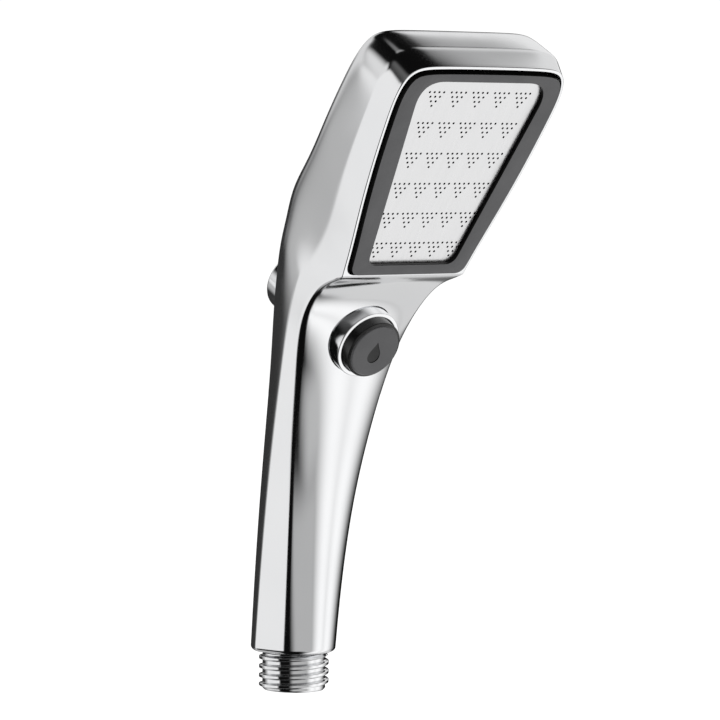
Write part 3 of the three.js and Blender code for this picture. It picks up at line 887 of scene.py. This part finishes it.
def make_button():
    cap = turned([
        (0, 0, 0), (8.1, 0, 0.3), (8.35, 0.45, 0), (CAP_RADIUS, 0.75, 0.25), (CAP_RADIUS, 7.2, 0),
        (CAP_HOLLOW, 7.2, 0), (CAP_HOLLOW, 1.8, 0), (STEM, 1.8, 0), (STEM, 8, 0),
        (STEM_BORE, 8, 0), (STEM_BORE, 3, 0), (0, 3, 0),
    ])
    drop = prism([(x, DROP_RAISE - y) for x, y in drop_outline(DROP_SIZE)], -2, DROP_DEPTH)
    cap = combine(cap, [drop])
    for face in cap.faces:
        middle = face.calc_center_median()
        inside = abs(middle.x) < DROP_SIZE * 1.1 and abs(middle.y) < DROP_SIZE * 2.4
        if inside and 1e-3 < middle.z < DROP_DEPTH + 1e-3:
            face.material_index = 1
        # The cap's side wall gets the near-black painted shade.
        elif middle.z > 0.4 and middle.xy.length > 8:
            face.material_index = 2
    materials = [CAP_PLASTIC, MARK_PAINT, CAP_SIDE_SHADE]
    piece = moved(cap, VALVE)
    return finish(piece, "stop_cap", "push_valve", "stop_button", materials)


def make_rear_button():
    cap = turned([
        (0, 40.5, 0), (STEM_BORE, 40.5, 0), (STEM_BORE, 37, 0), (STEM, 37, 0), (STEM, 40.8, 0),
        (CAP_HOLLOW, 40.8, 0), (CAP_HOLLOW, 36.8, 0), (CAP_RADIUS, 36.8, 0),
        (CAP_RADIUS, 42.6, 0.6), (0, 42.6, 0),
    ])
    piece = moved(cap, VALVE)
    return finish(piece, "rear_cap", "push_valve", "rear_button", [CAP_PLASTIC])


def make_front_collar():
    collar = moved(turned([
        (MOUTH, 3.6, 0.25), (COLLAR_RADIUS, 3.6, 0.35), (COLLAR_RADIUS, 13, 0),
        (STEM_OPENING, 13, 0), (STEM_OPENING, 11, 0), (MOUTH, 11, 0),
    ]), VALVE)
    materials = [FITTING_CHROME]
    return finish(collar, "button_collar", "body", "front_collar", materials)


def make_rear_collar():
    collar = moved(turned([
        (MOUTH, REAR_END, 0.2), (MOUTH, 36.5, 0), (STEM_OPENING, 36.5, 0), (STEM_OPENING, 34, 0),
        (8.8, 34, 0), (8.8, SKIRT_FRONT, 0), (REAR_RADIUS, SKIRT_FRONT, 0),
        (REAR_RADIUS, REAR_END, 0.8),
    ]), VALVE)
    materials = [FITTING_CHROME]
    return finish(collar, "rear_knob", "body", "rear_collar", materials)


# ---- room ----
def math_node(nodes, links, operation, *values):
    """The output of a math node whose inputs are other outputs or plain numbers."""
    node = nodes.new("ShaderNodeMath")
    node.operation = operation
    for socket, value in zip(node.inputs, values):
        if isinstance(value, bpy.types.NodeSocket):
            links.new(value, socket)
        else:
            socket.default_value = value
    return node.outputs[0]


def fade(nodes, links, angle, centre, half, soft):
    """1 near the centre and 0 beyond half a width from it, with a soft edge."""
    away = math_node(nodes, links, "SUBTRACT", angle, radians(centre))
    wrapped = math_node(nodes, links, "WRAP", away, pi, -pi)
    ramp = nodes.new("ShaderNodeMapRange")
    ramp.interpolation_type = "SMOOTHSTEP"
    ramp.inputs["From Min"].default_value = radians(max(0, half - soft))
    ramp.inputs["From Max"].default_value = radians(half + soft)
    ramp.inputs["To Min"].default_value = 1
    ramp.inputs["To Max"].default_value = 0
    links.new(math_node(nodes, links, "ABSOLUTE", wrapped), ramp.inputs["Value"])
    return ramp.outputs["Result"]


def add_panel(nodes, links, azimuth, elevation, middle, half, soft, brightness):
    """One panel of light in the room, as a patch of sky with soft edges. Angles are in degrees."""
    across = fade(nodes, links, azimuth, middle[0], half[0], soft[0])
    along = fade(nodes, links, elevation, middle[1], half[1], soft[1])
    patch = math_node(nodes, links, "MULTIPLY", across, along)
    return math_node(nodes, links, "MULTIPLY", patch, brightness)


# Panels: (azimuth, elevation) of the middle, half sizes, softness, brightness, in degrees.
# Azimuth is counted from the front towards +X. Where panels overlap the brightest one shows.
PANELS = [
    ((35, -30), (21, 45), (24, 10), 1.12),  # the large front right softbox
    ((60, -30), (23, 45), (30, 10), 1.12),
    ((-15, -12), (31, 16), (10, 5), 0.5),  # its weaker spill to the left
    ((5, -33), (20, 8), (14, 6), 0.55),
    ((-122, -10), (31, 14), (4, 3), 0.92),  # left side softbox
    ((-156, -8), (9, 9), (8, 4), 0.5),
    ((-160, 20), (14, 20), (6, 6), 0.75),
    ((-130, 6), (20, 12), (8, 8), 0.8),
    ((101, 24), (15, 25), (4, 4), 0.8),  # right side strips that light the head's top
    ((121, 26), (12, 15), (5, 2), 0.88),
    ((109, -43), (26, 17), (3, 4), 0.72),  # low reflector under the neck
    ((180, 27), (30, 18), (8, 6), 0.7),  # rear panels, for the back
    ((180, -42), (45, 20), (10, 8), 0.5),
    ((180, 82), (85, 8), (15, 5), 0.3),
    ((180, -10), (45, 20), (12, 10), 0.035),
    ((-45, 15), (45, 14), (15, 8), 0.12),
]
ROOM_LEVEL = 0.004
BACKDROP_LEVEL = 1.05


def light_room():
    """A dark room with panels of light for reflections, and a white backdrop for the camera."""
    world = bpy.data.worlds.new("studio_room")
    bpy.context.scene.world = world
    world.use_nodes = True
    nodes, links = world.node_tree.nodes, world.node_tree.links
    nodes.clear()
    place = nodes.new("ShaderNodeTexCoord")
    axes = nodes.new("ShaderNodeSeparateXYZ")
    links.new(place.outputs["Generated"], axes.inputs[0])
    towards_front = math_node(nodes, links, "MULTIPLY", axes.outputs["Y"], -1)
    azimuth = math_node(nodes, links, "ARCTAN2", axes.outputs["X"], towards_front)
    elevation = math_node(nodes, links, "ARCSINE", axes.outputs["Z"])
    total = ROOM_LEVEL
    for panel in PANELS:
        patch = add_panel(nodes, links, azimuth, elevation, *panel)
        total = math_node(nodes, links, "MAXIMUM", patch, total)
    room = nodes.new("ShaderNodeBackground")
    links.new(total, room.inputs["Color"])
    backdrop = nodes.new("ShaderNodeBackground")
    backdrop.inputs["Strength"].default_value = BACKDROP_LEVEL
    backdrop.inputs["Color"].default_value = (1, 1, 1, 1)
    ray = nodes.new("ShaderNodeLightPath")
    mix = nodes.new("ShaderNodeMixShader")
    links.new(ray.outputs["Is Camera Ray"], mix.inputs[0])
    links.new(room.outputs[0], mix.inputs[1])
    links.new(backdrop.outputs[0], mix.inputs[2])
    out = nodes.new("ShaderNodeOutputWorld")
    links.new(mix.outputs[0], out.inputs["Surface"])


FLOOR_DROP = 0.35  # metres below the inlet; the part hangs clear of the floor
FLOOR_RADIUS = 6


def lay_floor():
    bm = bmesh.new()
    bmesh.ops.create_circle(bm, cap_ends=True, segments=96, radius=FLOOR_RADIUS)
    bmesh.ops.translate(bm, vec=(0, 0, -FLOOR_DROP), verts=bm.verts)
    ground = new_object("pale_floor", bm)
    ground.data.materials.append(lit_paper())
    ground.visible_glossy = False


def main():
    scene = bpy.context.scene
    scene.view_settings.view_transform = "Standard"
    scene.view_settings.look = "None"
    dress_nodes()
    make_casing()
    make_ring()
    make_plate()
    make_adapter()
    make_screen()
    # The neck would mirror these four as a dark patch above the button.
    hidden_in_reflections = [
        make_front_collar(), make_button(),
        frame["nodes"]["valve_body"], frame["nodes"]["valve_spool"],
    ]
    for piece in hidden_in_reflections:
        piece.visible_glossy = False
    make_rear_collar()
    make_rear_button()
    light_room()
    lay_floor()


main()
